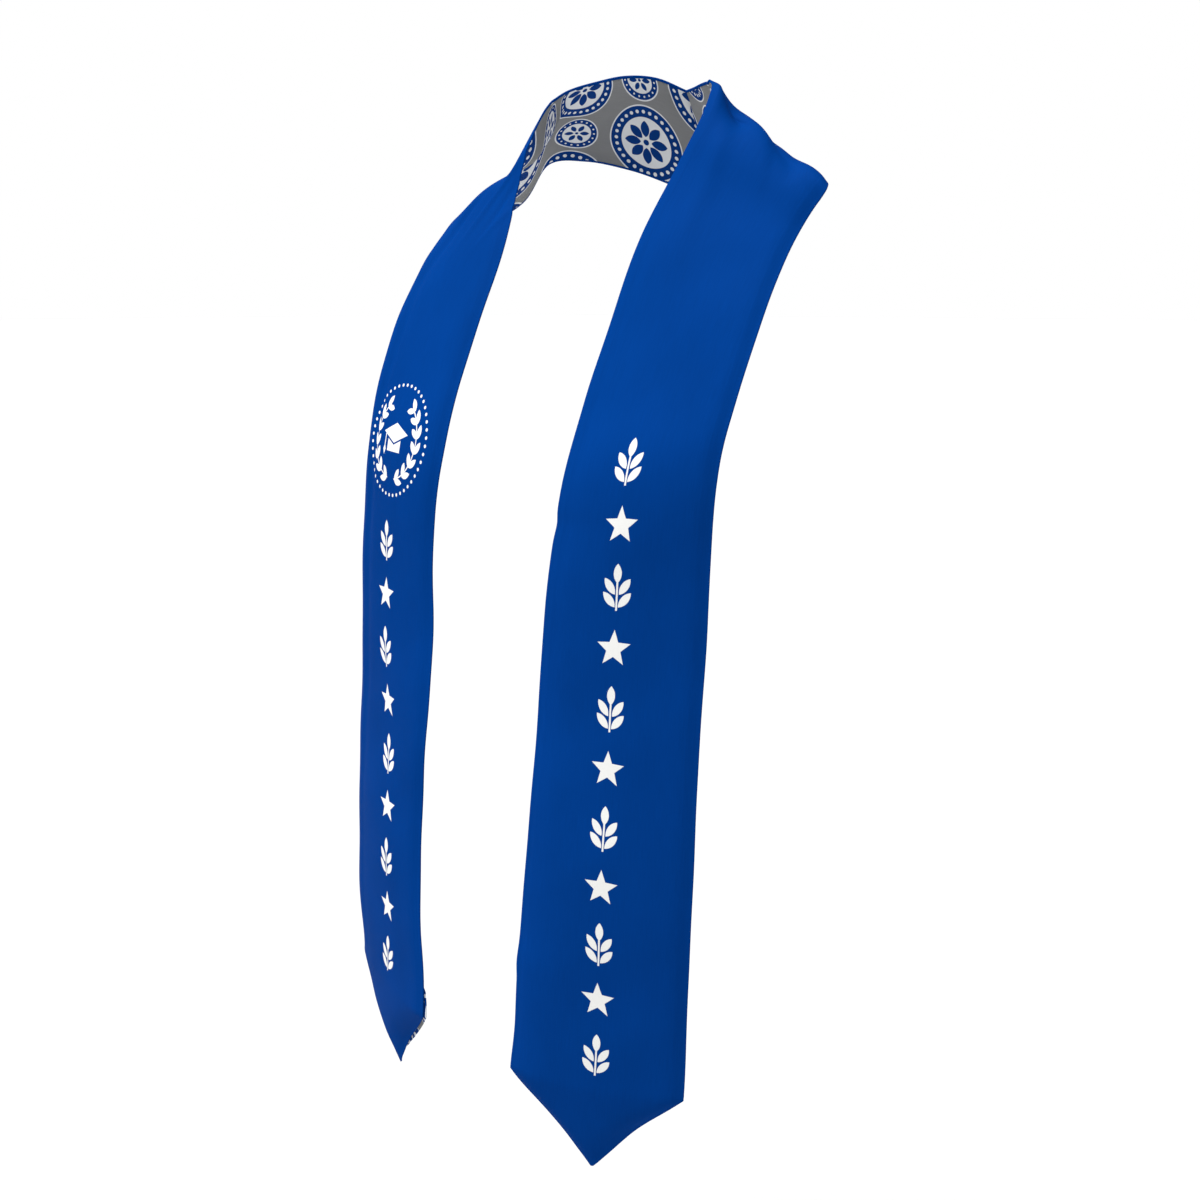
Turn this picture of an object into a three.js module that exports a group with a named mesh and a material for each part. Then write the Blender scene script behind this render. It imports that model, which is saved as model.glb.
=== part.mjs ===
import * as THREE from 'three';

// A graduation stole as it is worn: two satin bands sewn together at the centre back,
// laid round the neck and hanging down the front, each ending in a point.
// Millimetres, +Z up. The wearer faces -Y and the wearer's left is +X.
// The origin is the middle of the neck, level with the tops of the shoulders.

// Cut of each band: its width at the centre back, on the shoulder and at the corners
const neckWidth = 78;
const shoulderWidth = 107;
const endWidth = 129;
const pointLength = 65;

// Cloth and hems
const shellWall = 1;
const liningWall = 1;
const clearance = 0.3;
const hemLip = 1.4;
const tipWidth = 7;

// Neck opening, measured to the neck edge of the bands
const neckHalfWidth = 82;
const neckBack = 76;
const collarRise = 50;

// How the fronts hang, measured at the neck edge
const chestDepth = 173;
const frontDrop = 642;
const tipShift = 5;

// Sections from the centre back over the top of each shoulder, whose ridge is the seventh.
// out is a share of neckHalfWidth, back of neckBack and rise of collarRise. The cloth leaves the
// neck edge along heading, in degrees from the shoulder line towards the back, and falls by
// fall degrees. flare goes from neckWidth at 0 to shoulderWidth at 1. reach is the section's
// length as a share of that width, over 1 where it runs askew. belly is its bow, a share too.
const collarRows = {
  left: [
    { out: 0.00, back: 1.00, rise: 0.93, heading: 90, fall: 70, flare: 0.00, reach: 1.09, belly: 0.02 },
    { out: 0.23, back: 0.81, rise: 0.91, heading: 72, fall: 67, flare: 0.00, reach: 1.06, belly: 0.02 },
    { out: 0.46, back: 0.58, rise: 0.88, heading: 57, fall: 60, flare: 0.00, reach: 1.04, belly: 0.02 },
    { out: 0.66, back: 0.39, rise: 0.85, heading: 42, fall: 55, flare: 0.25, reach: 1.03, belly: 0.02 },
    { out: 0.80, back: 0.24, rise: 0.82, heading: 28, fall: 50, flare: 0.50, reach: 1.04, belly: 0.02 },
    { out: 0.86, back: 0.18, rise: 0.83, heading: 12, fall: 43, flare: 0.75, reach: 1.10, belly: 0.02 },
    { out: 0.92, back: 0.09, rise: 0.76, heading: -8, fall: 35.5, flare: 1.00, reach: 1.25, belly: 0.01 },
    { out: 0.98, back: -0.23, rise: 0.13, heading: 1, fall: 29, flare: 1.00, reach: 1.06, belly: 0.02 },
  ],
  right: [
    { out: 0.00, back: 1.00, rise: 0.93, heading: 90, fall: 70, flare: 0.00, reach: 1.09, belly: 0.02 },
    { out: 0.23, back: 0.81, rise: 1.12, heading: 72, fall: 67, flare: 0.00, reach: 1.06, belly: 0.02 },
    { out: 0.47, back: 0.63, rise: 1.16, heading: 57, fall: 55, flare: 0.00, reach: 1.02, belly: 0.02 },
    { out: 0.71, back: 0.46, rise: 1.09, heading: 42, fall: 38, flare: 0.25, reach: 0.99, belly: 0.02 },
    { out: 0.88, back: 0.29, rise: 0.98, heading: 33, fall: 31, flare: 0.50, reach: 1.00, belly: 0.02 },
    { out: 0.97, back: 0.18, rise: 0.88, heading: 24, fall: 42, flare: 0.75, reach: 1.10, belly: 0.02 },
    { out: 1.01, back: 0.09, rise: 0.78, heading: -9, fall: 47, flare: 1.00, reach: 1.19, belly: 0.00 },
    { out: 0.98, back: -0.23, rise: 0.13, heading: 1, fall: 33, flare: 1.00, reach: 0.99, belly: 0.02 },
  ],
};

// Sections on down to the corners, the same on both sides. inset is a share of neckHalfWidth,
// fore of chestDepth and drop of frontDrop. The other columns are as above.
const frontRows = [
  { inset: 0.91, fore: 0.18, drop: 0.035, heading: 3, fall: 23, reach: 1.01, belly: 0.03 },
  { inset: 0.81, fore: 0.33, drop: 0.105, heading: 6, fall: 10, reach: 1.01, belly: 0.03 },
  { inset: 0.77, fore: 0.49, drop: 0.190, heading: 7, fall: 1, reach: 1.02, belly: 0.03 },
  { inset: 0.75, fore: 0.64, drop: 0.275, heading: 9, fall: -2, reach: 1.01, belly: 0.03 },
  { inset: 0.73, fore: 0.75, drop: 0.355, heading: 11.5, fall: -3, reach: 1.00, belly: 0.03 },
  { inset: 0.69, fore: 0.84, drop: 0.520, heading: 14, fall: -2, reach: 1.00, belly: 0.03 },
  { inset: 0.67, fore: 0.91, drop: 0.695, heading: 15.5, fall: 0, reach: 1.00, belly: 0.03 },
  { inset: 0.63, fore: 0.98, drop: 0.900, heading: 18, fall: 0, reach: 1.00, belly: 0.03 },
  { inset: 0.60, fore: 1.00, drop: 1.000, heading: 20, fall: 0, reach: 1.00, belly: 0.03 },
];

// Dents and folds over the shoulders. at is the row they centre on, counted from the centre
// back, and across a share of the width. run is their half length in rows, spread their half
// width and lift their height, both as shares of the width.
const folds = {
  left: [
    { at: 6, across: 0.28, run: 1.3, spread: 0.11, lift: -0.065 },
    { at: 6, across: 0.46, run: 1.3, spread: 0.10, lift: -0.025 },
    { at: 6, across: 0.64, run: 1.3, spread: 0.12, lift: -0.050 },
    { at: 6, across: 0.92, run: 1.0, spread: 0.10, lift: 0.010 },
  ],
  right: [
    { at: 6, across: 0.28, run: 1.6, spread: 0.20, lift: -0.150 },
    { at: 6, across: 0.78, run: 1.2, spread: 0.18, lift: -0.035 },
  ],
};

// Mesh density
const stepsPerRow = 3;
const pointSteps = 4;
const facesAcross = 8;

const bandDepth = shellWall + clearance + liningWall;

const { lerp, degToRad } = THREE.MathUtils;

// The rows of one side, each with its point on the neck edge and its cut width
function placeRows(side) {
  const collar = collarRows[side].map((row) => ({
    ...row,
    neck: new THREE.Vector3(row.out * neckHalfWidth, row.back * neckBack, row.rise * collarRise),
    width: lerp(neckWidth, shoulderWidth, row.flare),
  }));
  const front = frontRows.map((row) => ({
    ...row,
    neck: new THREE.Vector3(
      row.inset * neckHalfWidth,
      -row.fore * chestDepth,
      -row.drop * frontDrop,
    ),
  }));
  let before = collar[collar.length - 1].neck;
  let run = 0;
  front.forEach((row) => {
    run += row.neck.distanceTo(before);
    before = row.neck;
    row.run = run;
  });
  front.forEach((row) => {
    row.width = lerp(shoulderWidth, endWidth, row.run / run);
  });
  return [...collar, ...front];
}

// A row's point on the outer edge
function outerPoint(row) {
  const heading = degToRad(row.heading);
  const fall = degToRad(row.fall);
  const direction = new THREE.Vector3(
    Math.cos(fall) * Math.cos(heading),
    Math.cos(fall) * Math.sin(heading),
    -Math.sin(fall),
  );
  return row.neck.clone().addScaledVector(direction, row.width * row.reach);
}

// Cross-sections of one side's band, from the centre back to the tip of the point
function sections(side) {
  const rows = placeRows(side);
  const neckCurve = new THREE.CatmullRomCurve3(rows.map((row) => row.neck), false, 'centripetal');
  const outerCurve = new THREE.CatmullRomCurve3(rows.map(outerPoint), false, 'centripetal');
  const spans = rows.length - 1;
  const list = [];
  for (let step = 0; step <= spans * stepsPerRow; step += 1) {
    const place = step / stepsPerRow;
    const row = Math.min(Math.floor(place), spans - 1);
    list.push({
      place,
      neck: neckCurve.getPoint(place / spans),
      outer: outerCurve.getPoint(place / spans),
      belly: lerp(rows[row].belly, rows[row + 1].belly, place - row),
    });
  }
  const corner = list[list.length - 1];
  const middle = corner.neck.clone().add(corner.outer).multiplyScalar(0.5);
  const tip = middle.clone().add(new THREE.Vector3(-tipShift, 0, -pointLength));
  const halfTip = corner.outer.clone().sub(corner.neck).setLength(tipWidth / 2);
  const tipNeck = tip.clone().sub(halfTip);
  const tipOuter = tip.clone().add(halfTip);
  for (let step = 1; step <= pointSteps; step += 1) {
    const share = step / pointSteps;
    list.push({
      place: corner.place + share,
      neck: corner.neck.clone().lerp(tipNeck, share),
      outer: corner.outer.clone().lerp(tipOuter, share),
      belly: corner.belly,
    });
  }
  list.forEach((section, i) => {
    const chord = section.outer.clone().sub(section.neck);
    section.width = chord.length();
    section.folds = folds[side];
    section.last = list[Math.max(i - 1, 0)];
    section.next = list[Math.min(i + 1, list.length - 1)];
    const neckTravel = section.next.neck.clone().sub(section.last.neck);
    const outerTravel = section.next.outer.clone().sub(section.last.outer);
    section.up = neckTravel.add(outerTravel).cross(chord).normalize();
  });
  return list;
}

// How far the dents and folds lift a section at a share of its width
function foldLift(section, share) {
  return section.folds.reduce((sum, fold) => {
    const along = (section.place - fold.at) / fold.run;
    const across = (share - fold.across) / fold.spread;
    return sum + fold.lift * section.width * Math.exp(-along * along - across * across);
  }, 0);
}

// A point on the band's outside face, at a share of the width from the neck edge
function facePoint(section, share) {
  const bow = 4 * share * (1 - share) * section.belly * section.width;
  const lift = bow + foldLift(section, share);
  return section.neck.clone().lerp(section.outer, share).addScaledVector(section.up, lift);
}

// The outward direction at a share of the width from the neck edge
function faceNormal(section, share) {
  const step = 0.02;
  const across = facePoint(section, share + step).sub(facePoint(section, share - step));
  const travel = facePoint(section.next, share).sub(facePoint(section.last, share));
  const normal = travel.cross(across).normalize();
  return section.place === 0 ? normal.setX(0).normalize() : normal;
}

// Distances in from the neck edge, from one margin to the other. Those in between are the same
// for every layer, so that the layers' facets lie parallel.
function spread(section, margin) {
  const liningMargin = hemLip + clearance;
  const liningWidth = section.width - 2 * liningMargin;
  const between = [];
  for (let k = 1; k < facesAcross; k += 1) {
    between.push(liningMargin + (liningWidth * k) / facesAcross);
  }
  return [margin, ...between, section.width - margin];
}

// The blue shell's outline in a section: full width outside, with a lip turned round the lining
function shellOutline(section) {
  const { width } = section;
  const outside = spread(section, 0).map((distance) => [distance, 0]);
  const inside = spread(section, hemLip).map((distance) => [distance, shellWall]).reverse();
  return [
    ...outside,
    [width, bandDepth],
    [width - hemLip, bandDepth],
    ...inside,
    [hemLip, bandDepth],
    [0, bandDepth],
  ];
}

// The grey lining's outline in a section, between the shell's two lips
function liningOutline(section) {
  const margin = hemLip + clearance;
  const toShell = spread(section, margin).map((distance) => [distance, shellWall + clearance]);
  const toWearer = spread(section, margin).map((distance) => [distance, bandDepth]).reverse();
  return [...toShell, ...toWearer];
}

// A closed solid lofted through one outline per section, mirrored for the right side
function loft(side, outlineOf) {
  const list = sections(side);
  const mirror = side === 'left' ? 1 : -1;
  const positions = [];
  const indices = [];
  const addTriangle = (a, b, c) => {
    if (mirror > 0) indices.push(a, b, c);
    else indices.push(b, a, c);
  };
  const outlines = list.map((section) => outlineOf(section));
  const count = outlines[0].length;
  outlines.forEach((outline, i) => {
    outline.forEach(([distance, depth]) => {
      const share = distance / list[i].width;
      const normal = faceNormal(list[i], share);
      const point = facePoint(list[i], share).addScaledVector(normal, -depth);
      if (i === 0) point.setX(clearance / 2);
      positions.push(mirror * point.x, point.y, point.z);
    });
  });
  [0, outlines.length - 1].forEach((i) => {
    const flat = outlines[i].map(([distance, depth]) => new THREE.Vector2(distance, depth));
    THREE.ShapeUtils.triangulateShape(flat, []).forEach(([a, b, c]) => {
      const start = i * count;
      if (i === 0) addTriangle(start + a, start + b, start + c);
      else addTriangle(start + a, start + c, start + b);
    });
  });
  // Each four-sided patch is split along the same diagonal of the cloth, whichever way its
  // outline runs there, so that faces that lie against each other have the same facets
  for (let i = 0; i + 1 < outlines.length; i += 1) {
    for (let k = 0; k < count; k += 1) {
      const next = (k + 1) % count;
      const a = i * count + k;
      const b = i * count + next;
      if (outlines[i][k][0] <= outlines[i][next][0]) {
        addTriangle(a, a + count, b);
        addTriangle(b, a + count, b + count);
      } else {
        addTriangle(a, a + count, b + count);
        addTriangle(a, b + count, b);
      }
    }
  }
  const geometry = new THREE.BufferGeometry();
  geometry.setAttribute('position', new THREE.Float32BufferAttribute(positions, 3));
  geometry.setIndex(indices);
  geometry.computeVertexNormals();
  return geometry;
}

const satinBlue = new THREE.MeshStandardMaterial({ color: 0x0b4193, roughness: 0.5, metalness: 0 });
const liningGrey = new THREE.MeshStandardMaterial({ color: 0x86888a, roughness: 0.7, metalness: 0 });

const stole = new THREE.Group();

function addPiece(name, side, outlineOf, material) {
  const mesh = new THREE.Mesh(loft(side, outlineOf), material);
  mesh.name = name;
  stole.add(mesh);
}

addPiece('shell_left', 'left', shellOutline, satinBlue);
addPiece('shell_right', 'right', shellOutline, satinBlue);
addPiece('lining_left', 'left', liningOutline, liningGrey);
addPiece('lining_right', 'right', liningOutline, liningGrey);

export default stole;
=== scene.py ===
import math

import bpy
import numpy as np
from bpy.props import FloatProperty, FloatVectorProperty, IntProperty, PointerProperty
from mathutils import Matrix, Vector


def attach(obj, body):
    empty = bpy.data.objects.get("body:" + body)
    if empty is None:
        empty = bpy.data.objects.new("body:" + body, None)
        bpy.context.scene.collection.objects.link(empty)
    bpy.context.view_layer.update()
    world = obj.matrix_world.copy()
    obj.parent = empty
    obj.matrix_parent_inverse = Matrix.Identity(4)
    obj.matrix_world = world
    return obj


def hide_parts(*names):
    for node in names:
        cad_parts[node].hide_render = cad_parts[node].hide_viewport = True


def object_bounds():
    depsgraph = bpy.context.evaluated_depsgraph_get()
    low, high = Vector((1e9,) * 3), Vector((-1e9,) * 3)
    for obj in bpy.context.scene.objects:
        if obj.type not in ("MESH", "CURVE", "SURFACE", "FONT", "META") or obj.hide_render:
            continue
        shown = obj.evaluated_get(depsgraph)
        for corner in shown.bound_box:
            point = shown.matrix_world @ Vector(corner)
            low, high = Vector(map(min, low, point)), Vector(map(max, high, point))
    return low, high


bl_info = {
    "name": "Graduation stole",
    "version": (1, 0, 0),
    "blender": (4, 5, 0),
    "location": "3D View > Sidebar > Stole",
    "description": "Drapes a satin graduation stole with a printed lining, and sets up its stage",
    "category": "Add Mesh",
}

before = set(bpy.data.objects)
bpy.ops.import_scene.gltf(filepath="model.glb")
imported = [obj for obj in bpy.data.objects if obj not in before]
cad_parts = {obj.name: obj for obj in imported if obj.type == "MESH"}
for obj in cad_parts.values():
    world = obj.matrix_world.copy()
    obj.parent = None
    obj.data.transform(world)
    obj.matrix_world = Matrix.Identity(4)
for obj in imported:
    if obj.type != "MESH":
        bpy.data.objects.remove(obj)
CAD_BOX = [list(corner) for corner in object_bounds()]
LOWEST = CAD_BOX[0][2]
MM = 0.001

# Sections from the centre back over the top of each shoulder, whose ridge is the seventh.
# out is a share of the neck opening's half width, back of its depth behind the shoulder line
# and rise of the collar's height. The cloth leaves the neck edge along heading, in degrees from
# the shoulder line towards the back, and falls by fall degrees. flare goes from the neck width
# at 0 to the shoulder width at 1. reach is the section's length as a share of that width, over
# 1 where it runs askew. belly is its bow, a share too.
COLLAR_COLUMNS = ("out", "back", "rise", "heading", "fall", "flare", "reach", "belly")
COLLAR_ROWS = {
    "left": (
        (0.00, 1.00, 0.93, 90, 70, 0.00, 1.09, 0.02),
        (0.23, 0.81, 0.91, 72, 67, 0.00, 1.06, 0.02),
        (0.46, 0.58, 0.88, 57, 60, 0.00, 1.04, 0.02),
        (0.66, 0.39, 0.85, 42, 55, 0.25, 1.03, 0.02),
        (0.80, 0.24, 0.82, 28, 50, 0.50, 1.04, 0.02),
        (0.86, 0.18, 0.83, 12, 43, 0.75, 1.10, 0.02),
        (0.92, 0.09, 0.76, -8, 35.5, 1.00, 1.25, 0.01),
        (0.98, -0.23, 0.13, 1, 29, 1.00, 1.06, 0.02),
    ),
    "right": (
        (0.00, 1.00, 0.93, 90, 70, 0.00, 1.09, 0.02),
        (0.23, 0.81, 1.12, 72, 67, 0.00, 1.06, 0.02),
        (0.47, 0.63, 1.16, 57, 55, 0.00, 1.02, 0.02),
        (0.71, 0.46, 1.09, 42, 38, 0.25, 0.99, 0.02),
        (0.88, 0.29, 0.98, 33, 31, 0.50, 1.00, 0.02),
        (0.97, 0.18, 0.88, 24, 42, 0.75, 1.10, 0.02),
        (1.01, 0.09, 0.78, -9, 47, 1.00, 1.19, 0.00),
        (0.98, -0.23, 0.13, 1, 33, 1.00, 0.99, 0.02),
    ),
}

# Sections on down to the corners, the same on both sides. inset is a share of the neck
# opening's half width, fore of the chest's depth and drop of the fronts' drop.
FRONT_COLUMNS = ("inset", "fore", "drop", "heading", "fall", "reach", "belly")
FRONT_ROWS = (
    (0.91, 0.18, 0.035, 3, 23, 1.01, 0.03),
    (0.81, 0.33, 0.105, 6, 10, 1.01, 0.03),
    (0.77, 0.49, 0.190, 7, 1, 1.02, 0.03),
    (0.75, 0.64, 0.275, 9, -2, 1.01, 0.03),
    (0.73, 0.75, 0.355, 11.5, -3, 1.00, 0.03),
    (0.69, 0.84, 0.520, 14, -2, 1.00, 0.03),
    (0.67, 0.91, 0.695, 15.5, 0, 1.00, 0.03),
    (0.63, 0.98, 0.900, 18, 0, 1.00, 0.03),
    (0.60, 1.00, 1.000, 20, 0, 1.00, 0.03),
)

# Dents and folds, mostly over the shoulders. at is the row they centre on, counted from the
# centre back, and across a share of the width, which slant changes from row to row. back and
# fore are their half lengths in rows on either side, spread their half width and lift their
# height, both as shares of the width.
FOLD_COLUMNS = ("at", "across", "slant", "back", "fore", "spread", "lift")
FOLD_ROWS = {
    "left": (
        (5.8, 1.00, 0.00, 0.5, 0.50, 0.07, 0.008),
        (6.0, 0.07, 0.00, 0.9, 0.60, 0.06, 0.022),
        (6.0, 0.25, 0.00, 1.3, 0.60, 0.12, -0.076),
        (6.0, 0.45, 0.00, 1.3, 0.60, 0.09, -0.012),
        (6.0, 0.61, 0.05, 1.3, 0.65, 0.11, -0.050),
        (6.0, 0.74, 0.00, 0.9, 0.90, 0.09, -0.038),
        (6.8, 0.62, 0.09, 0.6, 0.60, 0.045, -0.007),
        (7.2, 0.24, 0.05, 0.8, 1.70, 0.08, 0.018),
        (11.0, 0.10, 0.00, 3.5, 4.00, 0.045, -0.006),
        (11.7, 0.85, -0.60, 0.8, 0.80, 0.50, 0.024),
        (12.0, 1.00, 0.00, 4.5, 5.00, 0.070, -0.012),
        (13.5, 0.00, 0.00, 3.5, 4.00, 0.200, -0.034),
        (14.8, 0.00, 0.00, 2.5, 2.00, 0.080, -0.026),
    ),
    "right": (
        (6.0, 0.28, 0.00, 1.6, 1.30, 0.20, -0.150),
        (6.0, 0.78, 0.00, 1.2, 1.20, 0.18, -0.035),
        (6.3, 0.55, 0.00, 0.8, 0.80, 0.20, -0.028),
        (7.9, 0.23, 0.28, 0.7, 0.80, 0.040, 0.020),
        (8.3, 0.66, 0.20, 0.8, 0.90, 0.070, -0.026),
        (8.35, 0.14, 0.28, 0.4, 0.40, 0.035, -0.014),
        (8.57, 0.10, 0.50, 0.3, 0.30, 0.030, 0.009),
        (10.2, 0.87, 0.00, 1.2, 3.50, 0.060, -0.022),
        (10.5, 0.00, 0.00, 2.2, 4.00, 0.085, -0.020),
    ),
}

# Where an edge strays from its even line, near the row given by at. It goes outwards by shift and
# down by sag, both shares of the end width. back and fore are half lengths in rows.
EDGE_COLUMNS = ("edge", "at", "back", "fore", "shift", "sag")
EDGE_ROWS = {
    "left": (
        ("outer", 6.90, 0.50, 0.80, 0.010, 0.0),
        ("neck", 6.20, 0.60, 0.90, -0.016, 0.0),
        ("neck", 13.00, 2.50, 3.00, 0.016, 0.0),
        ("neck", 12.30, 0.06, 0.08, -0.010, 0.0),
        ("neck", 14.90, 0.10, 0.08, 0.008, 0.0),
        ("neck", 14.80, 2.50, 1.80, 0.018, 0.0),
        ("neck", 16.00, 0.30, 0.40, 0.022, 0.062),
        ("neck", 16.75, 0.20, 0.20, -0.010, 0.0),
        ("outer", 16.45, 0.30, 0.30, -0.024, 0.0),
    ),
    "right": (
        ("neck", 8.00, 0.60, 0.60, -0.032, 0.0),
        ("outer", 15.95, 0.25, 0.15, -0.010, 0.0),
        ("outer", 16.38, 0.42, 0.38, 0.100, 0.0),
        ("neck", 11.00, 3.50, 1.70, -0.040, 0.0),
        ("neck", 12.70, 0.50, 0.50, -0.050, 0.0),
        ("neck", 14.60, 0.70, 0.60, -0.048, 0.0),
        ("neck", 16.60, 0.40, 0.35, -0.062, 0.0),
    ),
}

# How far the hems of each point curl back, and how far in from the hem, both in metres
POINT_CURLS = {
    "left": {"neck": (0.0020, 0.010), "outer": (0.0080, 0.014)},
    "right": {"neck": (0.0065, 0.018), "outer": (0.0, 0.010)},
}

# Where the lining has slipped out behind the neck edge's hem. It starts and ends at rows, and comes
# out past the hem by a length in metres.
SLIP_COLUMNS = ("start", "end", "out")
SLIP_ROWS = {"left": (), "right": ((15.40, 16.97, 0.0024),)}

# Slow waves in the cloth: their length along the band and breadth across it in metres, where
# they start as a share of a turn, and their height as a share of the wave setting
WAVE_COLUMNS = ("length", "breadth", "start", "height")
WAVE_ROWS = {
    "left": (
        (0.230, 0.31, 0.10, 1.0),
        (0.137, -0.19, 0.55, 0.5),
        (0.071, 0.12, 0.30, 0.2),
    ),
    "right": (
        (0.260, -0.28, 0.70, 1.0),
        (0.149, 0.17, 0.05, 0.5),
        (0.066, -0.11, 0.45, 0.2),
    ),
}

# The row of the corners, counted from 0 at the centre back
CORNER_ROW = len(COLLAR_ROWS["left"]) + len(FRONT_ROWS) - 1

# Lengths in metres beside the centre seam, over which the waves grow up from nothing and the two
# halves are kept from crossing, and the places of extra sections, as shares of the first step
SEAM_CALM = 0.08
SEAM_REACH = 0.002
SEAM_STEPS = (0.12, 0.28, 0.5)

# The slipped lining sinks behind the satin's lip and comes out in this share of its length at
# either end. It sinks over a reach in metres, in from the lip.
SLIP_RISE = 0.30
SLIP_REACH = 0.010

# The power of the way down a point by which its tip curls and the curl of its hems fades
TIP_POWER = 4

# Faces round a hem, the most of a narrow section's width that one lip takes, how much closer
# together the faces are beside the hems, and the sharpest bend that is still shaded smooth
HEM_FACES = 7
LIP_SHARE = 0.28
EASING = 0.6
CREASE = math.radians(50)
TURN = 2 * math.pi

# Width of the camera's sensor, in millimetres
SENSOR_WIDTH = 36


def named(columns, rows):
    """Each row of a table as a dictionary of its named columns."""
    return [dict(zip(columns, row)) for row in rows]


def length_property(name, description, default):
    """A size in metres."""
    return FloatProperty(
        name=name, description=description, default=default, unit="LENGTH", precision=4
    )


def colour_property(name, description, default):
    """A colour in linear light."""
    return FloatVectorProperty(
        name=name, description=description, default=default, subtype="COLOR", min=0, max=1
    )


class StoleCut(bpy.types.PropertyGroup):
    """How the cloth is cut and how it hangs"""

    neck_width: length_property("Neck width", "Width of the band at the centre back", 0.078)
    shoulder_width: length_property("Shoulder width", "Width of the band on the shoulder", 0.107)
    end_width: length_property("End width", "Width of the band at its corners", 0.129)
    point_length: length_property("Point", "Length of the point below the corners", 0.0705)
    tip_width: length_property("Tip", "Width left at the end of the point", 0.0022)
    neck_half_width: length_property("Neck opening", "Half the width between the bands", 0.082)
    neck_back: length_property("Neck back", "The neck edge's depth behind the shoulders", 0.076)
    collar_rise: length_property("Collar rise", "Height of the neck edge above the shoulders", 0.050)
    chest_depth: length_property("Chest depth", "How far the corners hang in front", 0.173)
    front_drop: length_property("Front drop", "How far the corners hang below the neck", 0.642)
    left_lean: length_property("Left lean", "How far the left tip leans to the middle", 0.006)
    right_lean: length_property("Right lean", "How far the right tip leans to the middle", 0.002)


class StoleCloth(bpy.types.PropertyGroup):
    """Thickness, hems and soft relief of the cloth"""

    shell_wall: length_property("Shell", "Thickness of the satin with its interlining", 0.0007)
    lining_wall: length_property("Lining", "Thickness of the lining", 0.0006)
    gap: length_property("Gap", "Space between the layers", 0.00015)
    hem_lip: length_property("Hem lip", "Width of the satin turned round to the inside", 0.0018)
    edge_roll: length_property("Edge roll", "How far the edges roll back", 0.0016)
    roll_width: length_property("Roll width", "How far in from the edge the roll reaches", 0.009)
    seam_dip: length_property("Seam dip", "Depth of the groove along the centre seam", 0.0004)
    seam_width: length_property("Seam width", "Half width of that groove", 0.0012)
    hem_ridge: length_property("Hem ridge", "Height of the turned cloth inside the edges", 0.0006)
    hem_width: length_property("Hem width", "How far in from the edge that ridge lies", 0.007)
    tip_curl: length_property("Tip curl", "How far the tip of a point curls back", 0.004)
    bend: length_property("Bend", "Length over which the folds turn with the band", 0.016)
    wave: length_property("Wave", "Height of the slow waves in the hanging cloth", 0.0010)
    grid: length_property("Grid", "Spacing of the sections along the band", 0.0035)
    columns: IntProperty(
        name="Columns", description="Faces across the band", default=60, min=12
    )


class StoleColours(bpy.types.PropertyGroup):
    """Dyes and inks"""

    satin: colour_property("Satin", "Royal blue of the shell", (0.0006, 0.0362, 0.206))
    ink: colour_property("White ink", "Printed marks", (0.80, 0.80, 0.78))
    grey: colour_property("Lining grey", "Ground of the lining", (0.215, 0.22, 0.225))
    navy: colour_property("Navy", "Medallions on the lining", (0.002, 0.035, 0.185))
    pale: colour_property("Pale print", "Rims and middles of the medallions", (0.70, 0.72, 0.74))


class StolePrint(bpy.types.PropertyGroup):
    """Where the printed marks stand, and how large they are"""

    mark_pitch: length_property("Mark pitch", "Distance from mark to mark", 0.0407)
    mark_size: length_property("Sprig", "Height of a sprig", 0.031)
    star_radius: length_property("Star", "Radius of a star's tips", 0.0126)
    star_notch: length_property("Star notch", "Radius of a star's inner corners", 0.0054)
    left_start: length_property("Left marks", "The first mark's distance from the seam", 0.405)
    left_count: IntProperty(
        name="Left count", description="Marks in the left column", default=11, min=1
    )
    right_start: length_property("Right marks", "The first mark's distance from the seam", 0.497)
    right_count: IntProperty(
        name="Right count", description="Marks in the right column", default=9, min=1
    )
    badge_place: length_property("Badge", "Its middle's distance from the seam", 0.420)
    wreath_radius: length_property("Wreath", "Radius of the wreath's two branches", 0.030)
    bead_ring: length_property("Bead ring", "Radius of the ring of beads round the wreath", 0.042)
    bead_size: length_property("Bead", "Radius of one of those beads", 0.00125)
    bead_count: IntProperty(
        name="Beads", description="Number of beads round the wreath", default=44, min=3
    )
    large_medallion: length_property("Large medallion", "Radius of its disc", 0.029)
    small_medallion: length_property("Small medallion", "Radius of its disc", 0.016)
    medallion_drop: length_property("Half drop", "How far every other column is set down", 0.057)
    medallion_column: length_property("Print columns", "Distance between the columns", 0.050)


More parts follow.
